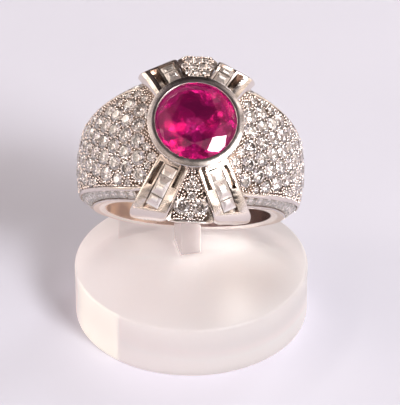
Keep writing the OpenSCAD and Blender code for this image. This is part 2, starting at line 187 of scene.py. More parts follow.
ruby_corners, ruby_faces = solids_of(cad["ruby"])[0]
ruby_middle = Vector(ruby_corners.mean(axis=0))
ring_z = Vector(table_normal(ruby_corners, ruby_faces)).normalized()
ruby_radius = max((Vector(c) - ruby_middle).cross(ring_z).length for c in ruby_corners)
ruby_top = max(Vector(c).dot(ring_z) for c in ruby_corners)
ruby_low = min(Vector(c).dot(ring_z) for c in ruby_corners)
ruby_girdle = ruby_middle + ring_z * (ruby_top - RUBY_CROWN - ruby_middle.dot(ring_z))
finger_way = middle_of("back_stones") - middle_of("front_stones")
ring_y = (finger_way - ring_z * finger_way.dot(ring_z)).normalized()
ring_x = ring_y.cross(ring_z)
ring_centre = ruby_girdle - ring_z * RUBY_GIRDLE_HEIGHT
to_ring = Matrix((ring_x, ring_y, ring_z)).to_4x4() @ Matrix.Translation(-ring_centre)
from_ring = to_ring.inverted()
print("ring centre", [round(v / MM, 2) for v in ring_centre], "ruby radius", round(ruby_radius / MM, 3))


# %% [markdown]
# ## Making pieces
#
# Every piece below is one mesh object. It rides on the model's only body, takes one material and, where it
# stands for a CAD node, hides that node.


# %% Piece helpers
def into_scene(name, data):
    """Puts a mesh, lamp or camera into the scene as an object."""
    obj = bpy.data.objects.new(name, data)
    bpy.context.scene.collection.objects.link(obj)
    return obj


def piece(name, bm, material, replaces=(), smooth_angle=None):
    """Turns a bmesh into a finished object."""
    mesh = bpy.data.meshes.new(name)
    bmesh.ops.recalc_face_normals(bm, faces=bm.faces)
    bm.to_mesh(mesh)
    bm.free()
    mesh.materials.append(material)
    obj = into_scene(name, mesh)
    if smooth_angle is not None:
        mesh.shade_smooth()
        mesh.set_sharp_from_angle(angle=math.radians(smooth_angle))
    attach(obj, "root")
    if replaces:
        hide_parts(*replaces)
    print(f"{name}: {sum(len(p.vertices) - 2 for p in mesh.polygons)} triangles")
    return obj


# %% [markdown]
# ## White gold
#
# The ring is 18 carat white gold under bright rhodium plate. Polished metal has almost no colour of its own
# and mirrors what is round it. Slightly uneven roughness and very low waves, left by the polishing wheel,
# keep the mirror from looking perfect. One function makes the metal, and each part gets its own polish and
# tone.


# %% White gold
WHEEL_MARK = 0.9 * MM
WHEEL_DEPTH = 0.02 * MM


def white_gold(name, body_hex, roughness, haze_mm, bump):
    """A metal with roughness that varies between two values, and the polishing wheel's low waves."""
    material, tree, place = new_material(name)
    spots = {"Vector": place, "Scale": 1 / (haze_mm * MM), "Detail": 3.0, "Roughness": 0.6}
    haze = add(tree, "TexNoise", spots)
    polish = {"Value": haze, "From Min": 0.3, "From Max": 0.7, "To Min": roughness[0], "To Max": roughness[1]}
    waves = add(tree, "TexNoise", {"Vector": place, "Scale": 1 / WHEEL_MARK, "Detail": 1.0})
    relief = {"Height": waves, "Strength": bump, "Distance": WHEEL_DEPTH}
    skin = {
        "Base Color": body_hex,
        "Metallic": 1.0,
        "Roughness": add(tree, "MapRange", polish),
        "Normal": add(tree, "Bump", relief),
    }
    add(tree, "OutputMaterial", {"Surface": add(tree, "BsdfPrincipled", skin)})
    return material


# Rhodium plate, polished: a slightly dark mirror, a little warm in the photo's light.
rhodium = white_gold("rhodium_plated_white_gold", "#E4D8D1", (0.16, 0.26), haze_mm=1.2, bump=0.25)
# The bezel is pushed over the ruby with a steel burnisher, which leaves it a little uneven.
burnished = white_gold("burnished_white_gold", "#D6CDCB", (0.17, 0.27), haze_mm=0.8, bump=0.35)
# The ground between the stones is cut with a graver; its dark colour is painted shade between the stones, so
# the beads stand out.
grained_and_shaded = white_gold("grained_shaded_white_gold", "#5C4E46", (0.2, 0.34), haze_mm=0.3, bump=0.6)
# Seats are bright cut, so they send light back up through the stones.
seat_metal = white_gold("seat_white_gold", "#F6F0EB", (0.25, 0.4), haze_mm=0.5, bump=0.3)
# Beads are rounded with a cup tool, so each catches one small light.
beaded = white_gold("beaded_white_gold", "#F6E9E2", (0.1, 0.2), haze_mm=0.6, bump=0.2)

# %% [markdown]
# ## Wear, painted light and painted shade on the plate
#
# Inside the hole, which the maker leaves satin, the finger has worn the plate off and the gold shows warm.
# Over that, light and shade are painted into the metal's colour: painted shade in the slots beside the bars
# and over the whole inside of the hole, painted glints on the worn gold towards the front and the left, where
# light falls, and a painted highlight that makes the band's front rim the brightest line on the ring. This
# could be painted by hand, but edges measured from the finger's axis stay in place when the ring is turned.


# %% Wear on the mount
DOME_RADIUS = 12.05 * MM
DOME_FALL = 0.031 / MM
SLOT_DEPTHS = (-0.15 * MM, 0.2 * MM)
HEAD_EDGE = (7.3 * MM, 7.9 * MM)
FRONT_FACE = (-3.4 * MM, -3.2 * MM)
BAND_EDGE = (9.3 * MM, 9.5 * MM)
HOLE_SKIN = (FINGER_RADIUS + 0.06 * MM, FINGER_RADIUS + 0.16 * MM)
# Where the worn gold shows, and where its painted glints fall.
WORN_AND_LIT_FRONT = (0.0, 2 * MM)
WORN_AND_LIT_LEFT = (-6 * MM, 4 * MM)
WORN_GLINT_SPOT = 2.4 * MM
SATIN, MORE_SATIN = 0.26, 0.2


def distance_from(tree, first, second):
    """The length of two coordinates taken together."""
    flat = add(tree, "CombineXYZ", {"X": first, "Y": second})
    return add(tree, "VectorMath", {0: flat}, operation="LENGTH")


def tint(tree, metal, factor, colour):
    """Mixes a colour, as a hex value or a node, into a metal where a factor is 1."""
    base = metal.inputs["Base Color"]
    under = base.links[0].from_socket if base.is_linked else tuple(base.default_value)
    tones = {"Factor": factor, COLOUR_A: under, COLOUR_B: colour}
    feed(tree, base, add(tree, "Mix", tones, data_type="RGBA"))


def paint_wear_and_light_on_mount(material):
    """Paints shade into the head's slots and the hole, a highlight on the front rim, and glints on worn gold.
    """
    tree = material.node_tree
    metal = next(n for n in tree.nodes if n.type == "BSDF_PRINCIPLED")
    place = add(tree, "TexCoord").outputs["Object"]
    turn = {"Vector": place, "Location": to_ring.to_translation(), "Rotation": to_ring.to_euler()}
    ring_point = add(tree, "Mapping", turn)
    ring = add(tree, "SeparateXYZ", {"Vector": ring_point}).outputs
    radius = distance_from(tree, ring["X"], ring["Z"])

    # The head's top is a dome that falls to the front and the back, and its slots lie below it.
    fall = {0: product(tree, ring["Y"], ring["Y"]), 1: -DOME_FALL, 2: DOME_RADIUS}
    dome = add(tree, "Math", fall, operation="MULTIPLY_ADD")
    height = add(tree, "Math", {0: radius, 1: dome}, operation="SUBTRACT")
    head = fade(tree, distance_from(tree, ring["X"], ring["Y"]), *HEAD_EDGE)
    # Painted shade: the slots below the dome, near the head, are darkened.
    tint(tree, metal, product(tree, fade(tree, height, *SLOT_DEPTHS), head), "#BCB0A8")
    # Painted highlight: the band's front rim is lightened into a bright line.
    rim = product(tree, fade(tree, ring["Y"], *FRONT_FACE), fade(tree, radius, *BAND_EDGE))
    tint(tree, metal, rim, "#FFFBF8")

    # Painted shade over the whole inside of the hole.
    inside = fade(tree, radius, *HOLE_SKIN)
    tint(tree, metal, inside, "#94807E")
    # The worn plate shows gold in patches; their lightest tones are painted glints, kept to the front and the
    # left, where light falls.
    worn_and_lit = product(tree, fade(tree, ring["Y"], *WORN_AND_LIT_FRONT), fade(tree, ring["X"], *WORN_AND_LIT_LEFT))
    spots = add(tree, "TexNoise", {"Vector": place, "Scale": 1 / WORN_GLINT_SPOT, "Detail": 1.0})
    stops = [(0.38, "#D4BCAE"), (0.64, "#FFE8D4")]
    gold = add(tree, "ValToRGB", {"Fac": spots}, stops=stops)
    tint(tree, metal, product(tree, inside, worn_and_lit), gold)
    soft = add(tree, "Math", {0: worn_and_lit, 1: MORE_SATIN, 2: SATIN}, operation="MULTIPLY_ADD")
    polish = metal.inputs["Roughness"].links[0].from_socket
    skin = {"Factor": inside, NUMBER_A: polish, NUMBER_B: soft}
    feed(tree, metal.inputs["Roughness"], add(tree, "Mix", skin))


paint_wear_and_light_on_mount(rhodium)
print(len(rhodium.node_tree.nodes), "nodes in", rhodium.name)

# %% [markdown]
# ## The mount
#
# The CAD solid already has the mount's true form, so its mesh is copied, and only its bezel is left out and
# made finer below. Flat neighbours are joined into clean faces, and a narrow bevel rounds the edges, because
# real polished edges always catch a line of light.


# %% Ring mount
EDGE_ROUND = 0.05 * MM
FLAT_ENOUGH = math.radians(0.08)
WALL_TOLERANCE = 0.01 * MM
RIM_DEPTH = 0.3 * MM
BEZEL_FOOT = (4.5 * MM, 11.3 * MM)
BEZEL_SHOULDER = (4.95 * MM, 13.95 * MM)
BEZEL_TOP = 14.2 * MM
BEZEL_LIP = 4.15 * MM


def on_bezel(point):
    """True on the outside wall and the rim of the CAD model's bezel."""
    local = to_ring @ point
    radius, height = math.hypot(local.x, local.y), local.z
    share = (height - BEZEL_FOOT[1]) / (BEZEL_SHOULDER[1] - BEZEL_FOOT[1])
    wall = BEZEL_FOOT[0] + share * (BEZEL_SHOULDER[0] - BEZEL_FOOT[0])
    on_wall = -0.01 < share < 1.01 and abs(radius - wall) < WALL_TOLERANCE
    on_rim = height > BEZEL_SHOULDER[1] - RIM_DEPTH and BEZEL_LIP - 0.05 * MM < radius < 5 * MM
    return on_wall or on_rim


def mount_mesh():
    """The CAD mount without its bezel, with as few edges as its form needs."""
    bm = bmesh.new()
    bm.from_mesh(cad["ring_mount"].data)
    bmesh.ops.remove_doubles(bm, verts=bm.verts, dist=0.002 * MM)
    bezel = [face for face in bm.faces if all(on_bezel(v.co) for v in face.verts)]
    bmesh.ops.delete(bm, geom=bezel, context="FACES")
    bmesh.ops.dissolve_limit(bm, angle_limit=FLAT_ENOUGH, verts=bm.verts, edges=bm.edges)
    return bm


mount = piece("white_gold_mount", mount_mesh(), rhodium, ["ring_mount"], smooth_angle=28)
bevel = mount.modifiers.new("rounded_edges", "BEVEL")
bevel.width = EDGE_ROUND
bevel.segments = 2
bevel.limit_method = "ANGLE"
bevel.angle_limit = math.radians(32)
bevel.harden_normals = True

# %% [markdown]
# ## The bezel
#
# The bezel is a turned cup whose rim is burnished over the ruby, so it is made like lathe work: one profile,
# spun round the ruby's axis. The rim is nearly flat and leans inwards, and its two corners are rolled, so
# each shows a thin bright line.


# %% Bezel
BEZEL_STEPS = 128
RIM_ROUND = 0.09 * MM
ROLL = [math.radians(a) for a in (0, 20, 40, 60, 72)]
OUTER_ROLL = (BEZEL_SHOULDER[0] - RIM_ROUND, 13.93 * MM)
INNER_ROLL = (BEZEL_LIP + RIM_ROUND, BEZEL_TOP - RIM_ROUND)
RIM_MIDDLE = (4.58 * MM, 14.12 * MM)


def rolled(centre, way):
    """Points over a rolled corner of the rim, from side to top. Way is 1 outside and -1 inside."""
    return [(centre[0] + way * RIM_ROUND * math.cos(a), centre[1] + RIM_ROUND * math.sin(a)) for a in ROLL]


def bezel_profile():
    """Up the straight outside wall, over the rim with its rolled corners, and down to the ruby."""
    wall = [BEZEL_FOOT, tuple((a + b) / 2 for a, b in zip(BEZEL_FOOT, BEZEL_SHOULDER))]
    wall.append((BEZEL_SHOULDER[0] - 0.01 * MM, BEZEL_SHOULDER[1] - 0.1 * MM))
    rim = rolled(OUTER_ROLL, 1) + [RIM_MIDDLE] + rolled(INNER_ROLL, -1)[::-1]
    lip = [(BEZEL_LIP, RUBY_GIRDLE_HEIGHT + 0.2 * MM)]
    lip.append((ruby_radius + 0.05 * MM, RUBY_GIRDLE_HEIGHT + 0.1 * MM))
    return wall + rim + lip


def ring_of(count, radius, height, half_steps=0.0):
    """Points on a circle, as (x, y, z), turned by some half steps."""
    turns = [(i + half_steps) * 2 * math.pi / count for i in range(count)]
    return [(radius * math.cos(a), radius * math.sin(a), height) for a in turns]


def join_rows(bm, rows):
    """Adds the faces between closed rows that have the same number of corners."""
    for upper, lower in zip(rows, rows[1:]):
        for i in range(len(upper)):
            j = (i + 1) % len(upper)
            bm.faces.new((upper[i], upper[j], lower[j], lower[i]))


bm = bmesh.new()
circles = [ring_of(BEZEL_STEPS, radius, height) for radius, height in bezel_profile()]
join_rows(bm, [[bm.verts.new(from_ring @ Vector(p)) for p in circle] for circle in circles])
piece("bezel_rim", bm, burnished, smooth_angle=40)

# %% [markdown]
# ## Diamond and ruby
#
# Diamond bends light strongly, with an IOR of 2.42, and is close to colourless: all its life comes from its
# facets, helped by a faint glow of painted light. Ruby has an IOR of 1.77 and takes its red from its depth:
# the longer light travels inside, the more green and blue it loses, so its volume absorbs light. It glows a
# little red in daylight; here its glow is stronger, painted light that fills its dark middle. Fine silk
# inside softens its facets, while the polished skin above them still mirrors the window sharply.


# %% Diamond and ruby materials
def gem(name, ior, body_hex, cloud_hex, cloud_mm, glow, silk=(0.0, 0.0, "#FFFFFF"), depth=None):
    """A cut stone. Faint clouds keep a field of stones from looking alike. Glow, painted light, is a colour
    and a strength, silk a roughness, a coat and a veil's colour, and depth a colour and its loss in a
    millimetre."""
    material, tree, place = new_material(name)
    cloud = add(tree, "TexNoise", {"Vector": place, "Scale": 1 / (cloud_mm * MM), "Detail": 2.0})
    tones = {"Factor": cloud, COLOUR_A: body_hex, COLOUR_B: cloud_hex}
    skin = {
        "Base Color": add(tree, "Mix", tones, data_type="RGBA"),
        "Roughness": silk[0],
        "IOR": ior,
        "Specular Tint": silk[2],
        "Transmission Weight": 1.0,
        "Coat Weight": silk[1],
        "Coat Roughness": 0.0,
        "Coat IOR": ior,
        "Emission Color": glow[0],
        "Emission Strength": glow[1],
    }
    made = {"Surface": add(tree, "BsdfPrincipled", skin)}
    if depth:
        made["Volume"] = add(tree, "VolumeAbsorption", {"Color": depth[0], "Density": depth[1] / MM})
    add(tree, "OutputMaterial", made)
    return material


# The brilliants throw back bright and dark in turn; a faint glow adds painted light.
diamond = gem("diamond", 2.42, "#FFF9F9", "#F8ECEA", cloud_mm=1.1, glow=("#FFF0EA", 0.014))
# The side rows are a touch whiter, with a stronger glow: painted light that keeps them light in their narrow
# channels.
side_diamond = gem("side_diamond", 2.42, "#FFFAF9", "#F8EDEA", cloud_mm=1.1, glow=("#FFF4EE", 0.04))
# The ruby: deep pinkish red, softened by silk, under a sharply polished skin; its glow, stronger than a
# ruby's own, is painted light that fills its dark middle.
ruby_silk = (0.19, 0.4, "#B4567C")
red_depth = ("#E800CA", 0.37)
ruby_glow = ("#982074", 0.15)
ruby_red = gem("ruby", 1.77, "#FA90CC", "#F480BE", 2.5, ruby_glow, ruby_silk, red_depth)

# %% [markdown]
# ## Round brilliants
#
# A brilliant has a table, stars, kites and girdle facets above, and mains and lower girdle facets below. The
# CAD stones have fewer, so each is cut anew in its place: girdle and table are measured from the CAD solid.
# Each is turned a little on its axis, as a setter leaves them.


# %% Brilliant cut
CROWN_SHARE = 0.32
SHOULDERS = ["shoulder_stones_left", "shoulder_stones_right"]
FANS = ["front_stones", "back_stones"]


def stone_seats(node):
    """Each stone of a CAD field as (middle of its girdle, table direction, girdle radius)."""
    found = []
    for corners, faces in solids_of(cad[node]):
        axis = table_normal(corners, faces)
        middle = corners.mean(axis=0)
        height = (corners - middle) @ axis
        radius = np.linalg.norm((corners - middle) - np.outer(height, axis), axis=1).max()
        girdle_middle = middle + axis * (height.max() - CROWN_SHARE * radius)
        found.append((Vector(girdle_middle), Vector(axis), float(radius)))
    return found


def cut_crown(bm, table, stars, girdle):
    """The facets between a table of 8 corners, 8 star corners and 16 corners of the girdle."""
    bm.faces.new(table)
    for i in range(8):
        j = (i + 1) % 8
        bm.faces.new((table[i], table[j], stars[i]))
        bm.faces.new((table[i], stars[i], girdle[2 * i], stars[i - 1]))
        bm.faces.new((stars[i], girdle[2 * i], girdle[2 * i + 1]))
        bm.faces.new((stars[i], girdle[2 * i + 1], girdle[2 * j]))


def cut_brilliant(bm, middle, axis, radius, turn):
    """Adds one round brilliant of the full cut, its girdle's middle at a point, its table along an axis."""
    crown = [ring_of(8, 0.56, CROWN_SHARE), ring_of(8, 0.79, 0.204, 0.5), ring_of(16, 1.0, 0.02)]
    pavilion = [ring_of(16, 1.0, -0.02), ring_of(8, 0.23, -0.666, 0.5), [(0, 0, -0.84)]]
    turn_to = axis.to_track_quat("Z", "Y").to_matrix() @ Matrix.Rotation(turn, 3, "Z")
    rows = [[bm.verts.new(middle + turn_to @ (Vector(p) * radius)) for p in row] for row in crown + pavilion]
    table, stars, girdle, under, lower, culet = rows
    cut_crown(bm, table, stars, girdle)
    join_rows(bm, [girdle, under])
    for i in range(8):
        j = (i + 1) % 8
        bm.faces.new((under[2 * i], under[2 * i + 1], lower[i]))
        bm.faces.new((under[2 * i + 1], under[2 * j], lower[i]))
        bm.faces.new((under[2 * i], lower[i], culet[0], lower[i - 1]))


seats = {node: stone_seats(node) for node in SHOULDERS + FANS}
rng = np.random.default_rng(7)
for node in seats:
    bm = bmesh.new()
    for middle, axis, radius in seats[node]:
        cut_brilliant(bm, middle, axis, radius, turn=float(rng.uniform(0, math.pi / 4)))
    piece(node + "_cut", bm, diamond, [node])
print({node: len(seats[node]) for node in seats})


# %% [markdown]
# ## Seats
#
# The brilliants are bead set: the setter drills a conical seat for each into one plate of gold, then raises
# little beads between the stones and pushes them over their edges. Cutting the holes with booleans would be
# slow, so the plate is laid out flat: every stone gives a round hole, the walls round the bed give its
# outline, and Blender's Delaunay function fills what lies between. Then each point goes back to its height
# beside the nearest stone.


# %% Outlines of the beds
# Places on the head are seen from above in millimetres, and those round the band in degrees.
BED_EDGE = [(-10, 3.06), (0, 3.28), (8, 3.48), (30, 4.48), (52, 5.35), (62, 5.51), (80, 5.51)]
BED_START, BED_END = -10, 79
BED_SHIFT = -0.19
BAR_START, BAR_END = (3.65, 3.2), (6.12, 7.7)
BAR_LENGTH = math.dist(BAR_START, BAR_END)
BAR_WAY = [(end - start) / BAR_LENGTH for start, end in zip(BAR_START, BAR_END)]
BAR_SET_OUT = {"back": 0.33, "front": -0.08}
FAN_SPREAD = {"front_stones": 0.452, "back_stones": 0.36}
FAN_START, FAN_HALF = 4.5, 0.62
FAN_ROUND, FAN_END = 8.7, 9.04
BEZEL_HIDE = 4.42
UNROLL = 12.05
SEAT_STEPS = 20
SEAT_SPACE = 0.02 * MM
SEAT_LIFT = 0.03 * MM


def bed_edge(degrees):
    """Half the width of a shoulder's bed at an angle up from the side of the finger, in millimetres."""
    return float(np.interp(degrees, *zip(*BED_EDGE)))


def past_bar(x, y):
    """How far a spot on the shoulder stands outside a bar's outer wall, seen from above."""
    (x0, y0), along = BAR_START, BAR_WAY
    set_out = BAR_SET_OUT["back" if y > 0 else "front"]
    return (x - x0) * along[1] - (abs(y) - y0) * along[0] - set_out


def bar_line(sign):
    """The foot of a bar's outer wall, seen from above, as (x, y)."""
    (x0, y0), along = BAR_START, BAR_WAY
    set_out = BAR_SET_OUT["back" if sign > 0 else "front"]
    reach = [BAR_LENGTH * (-0.5 + 0.125 * i) for i in range(13)]
    x0, y0 = x0 + set_out * along[1], y0 - set_out * along[0]
    return [(x0 + t * along[0], sign * (y0 + t * along[1])) for t in reach]


def shoulder_layout(side):
    """How a shoulder's bed is unrolled: to the flat and back, a test for spots on it, and its outlines."""

    def flatten(local):
        return math.atan2(local.z, local.x * side) * UNROLL, local.y / MM

    def direction(flat):
        turn = flat[0] / UNROLL
        return Vector((math.cos(turn) * side, 0, math.sin(turn))), flat[1] * MM

    def on_bed(flat, margin=0.0):
        turn, y = flat[0] / UNROLL, flat[1]
        x, degrees = math.cos(turn) * UNROLL, math.degrees(turn)
        inside = abs(y - BED_SHIFT) < bed_edge(degrees) - margin and BED_START < degrees < BED_END
        return inside and math.hypot(x, y) > BEZEL_HIDE and past_bar(x, y) > 2 * margin

    def unroll(x, y):
        return math.acos(x / UNROLL) * UNROLL, y

    angles = [BED_START + (BED_END - BED_START) * i / 24 for i in range(25)]
    edge = [(math.radians(q) * UNROLL, BED_SHIFT - bed_edge(q)) for q in angles]
    edge += [(math.radians(q) * UNROLL, BED_SHIFT + bed_edge(q)) for q in reversed(angles)]
    arc = [math.radians(-84 + 7 * i) for i in range(25)]
    cup = [unroll(BEZEL_HIDE * math.cos(a), BEZEL_HIDE * math.sin(a)) for a in arc]
    lines = [[unroll(x, y) for x, y in bar_line(sign)] for sign in (1, -1)]
    return flatten, direction, on_bed, [edge + edge[:1], cup] + lines


def fan_layout(node):
    """The same for a fan, which is laid out as it is seen from above."""
    sign = 1 if node == "back_stones" else -1
    spread = FAN_SPREAD[node]

    def half(y):
        full = FAN_HALF + (min(y, FAN_ROUND) - FAN_START) * spread
        return full if y < FAN_ROUND else full * (1 - 0.88 * ((y - FAN_ROUND) / 0.6) ** 2)

    def flatten(local):
        return local.x / MM, local.y / MM

    def direction(flat):
        height = math.sqrt(UNROLL**2 - flat[0] ** 2)
        return Vector((flat[0], 0, height)) / UNROLL, flat[1] * MM

    def on_bed(flat, margin=0.0):
        x, y = flat[0], flat[1] * sign
        return math.hypot(x, y) > BEZEL_HIDE and y < FAN_END - margin and abs(x) < half(y) - margin

    ys = [4.0, 5.0, 6.0, 7.0, 8.0, 8.7, 8.8, 8.9, FAN_END]
    edge = [(half(y), y * sign) for y in ys] + [(-half(y), y * sign) for y in reversed(ys)]
    arc = [math.radians(60 + 6 * i) for i in range(11)]
    cup = [(BEZEL_HIDE * math.cos(a), BEZEL_HIDE * math.sin(a) * sign) for a in arc]
    return flatten, direction, on_bed, [edge + edge[:1], cup]


print("a shoulder's bed is up to", 2 * max(width for _, width in BED_EDGE), "mm wide")


# %% The plate and the seats
def seat_ring(middle, axis, radius, height):
    """A circle of points square to a stone's axis."""
    turn_to = axis.to_track_quat("Z", "Y").to_matrix()
    return [middle + turn_to @ Vector(p) for p in ring_of(SEAT_STEPS, radius, height)]


def beside_nearest(stones, direction, flat):
    """The point over a flat spot, at the height of the girdle of the stone nearest to it."""
    way, along = direction(flat)
    ray = from_ring.to_3x3() @ way
    start = ring_centre + ring_y * along
    guess = start + ray * UNROLL * MM
    middle, axis, radius = min(stones, key=lambda s: (s[0] - guess).length - s[2])
    return start + ray * ((middle - start).dot(axis) / ray.dot(axis))


def in_stone(point, stones):
    """True over or under one of the stones."""
    return any((point - c).cross(axis).length < r and (point - c).length < 2 * r for c, axis, r in stones)


def seat_plate(stones, layout):
    """The plate of gold round a field of stones, with a round hole for each."""
    flatten, direction, on_bed, outlines = layout
    points, joins = [], []
    for middle, axis, radius in stones:
        first = len(points)
        points += seat_ring(middle, axis, radius + SEAT_SPACE, SEAT_LIFT)
        joins += [(first + i, first + (i + 1) % SEAT_STEPS) for i in range(SEAT_STEPS)]
    flats = [flatten(to_ring @ point) for point in points]
    for line in outlines:
        first = len(flats)
        flats += line
        joins += [(first + i, first + i + 1) for i in range(len(line) - 1)]
    flats = [Vector(flat) for flat in flats]
    flat_points, _, triangles, sources_of, _, _ = delaunay_2d_cdt(flats, joins, [], 0, 1e-5)
    bm = bmesh.new()
    verts = []
    for flat, sources in zip(flat_points, sources_of):
        known = [i for i in sources if i < len(points)]
        verts.append(bm.verts.new(points[known[0]] if known else beside_nearest(stones, direction, flat)))
    for face in triangles:
        middle = sum((verts[i].co for i in face), Vector()) / len(face)
        middle_flat = sum((flat_points[i] for i in face), Vector((0, 0))) / len(face)
        if on_bed(middle_flat) and not in_stone(middle, stones):
            bm.faces.new([verts[i] for i in face])
    bmesh.ops.delete(bm, geom=[v for v in bm.verts if not v.link_faces], context="VERTS")
    return bm


def seat_cups(stones):
    """Under each stone a polished cup that follows its pavilion, and sends light back up through it."""
    bm = bmesh.new()
    for middle, axis, radius in stones:
        levels = [(radius + SEAT_SPACE, SEAT_LIFT), (radius, -0.06 * radius), (0.15 * radius, -0.8 * radius)]
        rows = [[bm.verts.new(p) for p in seat_ring(middle, axis, r, h)] for r, h in levels]
        join_rows(bm, rows)
        bm.faces.new(rows[-1])
    return bm


layouts = {node: shoulder_layout(-1 if node.endswith("left") else 1) for node in SHOULDERS}
layouts |= {node: fan_layout(node) for node in FANS}
for node in seats:
    piece(node + "_plate", seat_plate(seats[node], layouts[node]), grained_and_shaded, smooth_angle=30)
    piece(node + "_seats", seat_cups(seats[node]), seat_metal, smooth_angle=40)

# %% [markdown]
# ## Beads
#
# A bead is a grain of gold rounded with a cup tool. Real ones hold the stones' edges first, and what room is
# left is filled with more, all a little different. The same order is used here: the corners between
# neighbouring stones are tried first, then a fine grid over the bed, and each bead is kept only where there
# is room for it.


# %% Beads
BEAD_RADII = (0.12 * MM, 0.175 * MM)
BEAD_GRID = 0.11
BEAD_MARGIN = 0.08
GRID_REACH = 1.2
NEIGHBOUR_GAP = 0.5 * MM
STONE_CLEARANCE = 0.045 * MM
BEAD_OVERLAP = 0.92


def room_for_bead(point, stones, beads, radius):
    """True where a bead laps only a little over the stones' edges and over the other beads."""
    if any((point - middle).length < r + STONE_CLEARANCE for middle, _, r in stones):
        return False
    return all((point - other).length > BEAD_OVERLAP * (radius + size) for other, size in beads)


def corner_points(stones):
    """The corners between neighbouring stones, a little above their girdles."""
    for i, (here, axis, r_here) in enumerate(stones):
        for there, other_axis, r_there in stones[i + 1 :]:
            gap = (there - here).length - r_here - r_there
            if gap > NEIGHBOUR_GAP:
                continue
            along = (there - here).normalized()
            out = (axis + other_axis).normalized()
            sideways = out.cross(along).normalized()
            half = r_here + gap / 2
            reach = r_here + max(0.11 * MM, gap / 2 + 0.04 * MM)
            slide = math.sqrt(max(reach * reach - half * half, 0.0))
            for sign in (-1, 1):
                yield here + along * half + sideways * slide * sign + out * 0.09 * MM


def grid_points(stones, layout):
    """A fine grid over the bed, beside the stones."""
    flatten, direction, on_bed, _ = layout
    flats = [flatten(to_ring @ middle) for middle, _, _ in stones]
    low = [min(f[k] for f in flats) - GRID_REACH for k in (0, 1)]
    high = [max(f[k] for f in flats) + GRID_REACH for k in (0, 1)]
    for row in range(int((high[0] - low[0]) / BEAD_GRID)):
        for column in range(int((high[1] - low[1]) / BEAD_GRID)):
            flat = (low[0] + row * BEAD_GRID, low[1] + column * BEAD_GRID)
            if on_bed(flat, BEAD_MARGIN):
                lift = (from_ring.to_3x3() @ direction(flat)[0]) * 0.03 * MM
                yield beside_nearest(stones, direction, flat) + lift


def bead_places(stones, layout, rng):
    """Beads of mixed sizes wherever the plate has room, as (point, radius)."""
    flatten, _, on_bed, _ = layout
    beads = []
    for point in corner_points(stones):
        radius = float(rng.uniform(*BEAD_RADII))
        inside = on_bed(flatten(to_ring @ point), BEAD_MARGIN)
        if inside and room_for_bead(point, stones, beads, radius):
            beads.append((point, radius))
    for point in grid_points(stones, layout):
        radius = float(rng.uniform(*BEAD_RADII))
        if room_for_bead(point, stones, beads, radius):
            beads.append((point, radius))
    return beads


for node in seats:
    beads = bead_places(seats[node], layouts[node], rng)
    bm = bmesh.new()
    for point, radius in beads:
        bmesh.ops.create_icosphere(bm, subdivisions=1, radius=radius, matrix=Matrix.Translation(point))
    piece(node + "_beads", bm, beaded, smooth_angle=180)
    print(len(beads), "beads on", node)

# %% [markdown]
# ## Baguettes
#
# A baguette is step cut: long facets step in to the table above and to a keel below. It could be a bevelled
# box, but the side baguettes taper, so each is built from the four girdle corners of its CAD stone, with a
# polished trough under it that sends light back through it.


# %% Baguette cut
def corner_quad(corners, faces):
    """A CAD baguette's table direction and its four girdle corners, in order round the stone."""
    axis = Vector(table_normal(corners, faces))
    middle = Vector(corners.mean(axis=0))
    reach = sorted(((Vector(c) - middle).cross(axis).length, i) for i, c in enumerate(corners))
    girdle = [Vector(corners[i]) for _, i in reach[-4:]]
    centre = sum(girdle, Vector()) / 4
    side = (girdle[0] - centre).normalized()
    other = axis.cross(side)
    girdle.sort(key=lambda c: math.atan2((c - centre).dot(other), (c - centre).dot(side)))
    return axis, girdle


def stepped(bm, axis, girdle, steps):
    """Rows of four corners set in from a girdle, with walls between. Steps are (share of width, height)."""
    narrow = narrow_side(girdle)
    rows = []
    for inset, height in steps:
        row = []
        for i in range(4):
            here, after, before = girdle[i], girdle[(i + 1) % 4], girdle[i - 1]
            shift = (after - here).normalized() + (before - here).normalized()
            row.append(bm.verts.new(here + shift * inset * narrow + axis * height))
        rows.append(row)
    join_rows(bm, rows)
    bm.faces.new(rows[-1])
    return rows


def narrow_side(girdle):
    """The shortest side of a girdle."""
    return min((girdle[(i + 1) % 4] - girdle[i]).length for i in range(4))


def cut_baguette(bm, axis, girdle, crown, depth):
    """Adds one step-cut baguette: three steps up to its table, and three down to its keel."""
    above = [(0.21, crown), (0.12, crown * 0.78), (0.04, crown * 0.4), (0.0, 0.0)]
    below = [(0.0, -0.04 * narrow_side(girdle)), (0.1, -depth * 0.4), (0.24, -depth * 0.76), (0.42, -depth)]
    rows = stepped(bm, axis, girdle, above + below)
    bm.faces.new(rows[0])


def baguette_seat(bm, axis, girdle, depth):
    """Adds the polished trough under a baguette."""
    lip = (-0.02, -0.03 * narrow_side(girdle))
    stepped(bm, axis, girdle, [lip, (0.14, -depth * 0.5), (0.4, -depth * 1.08)])


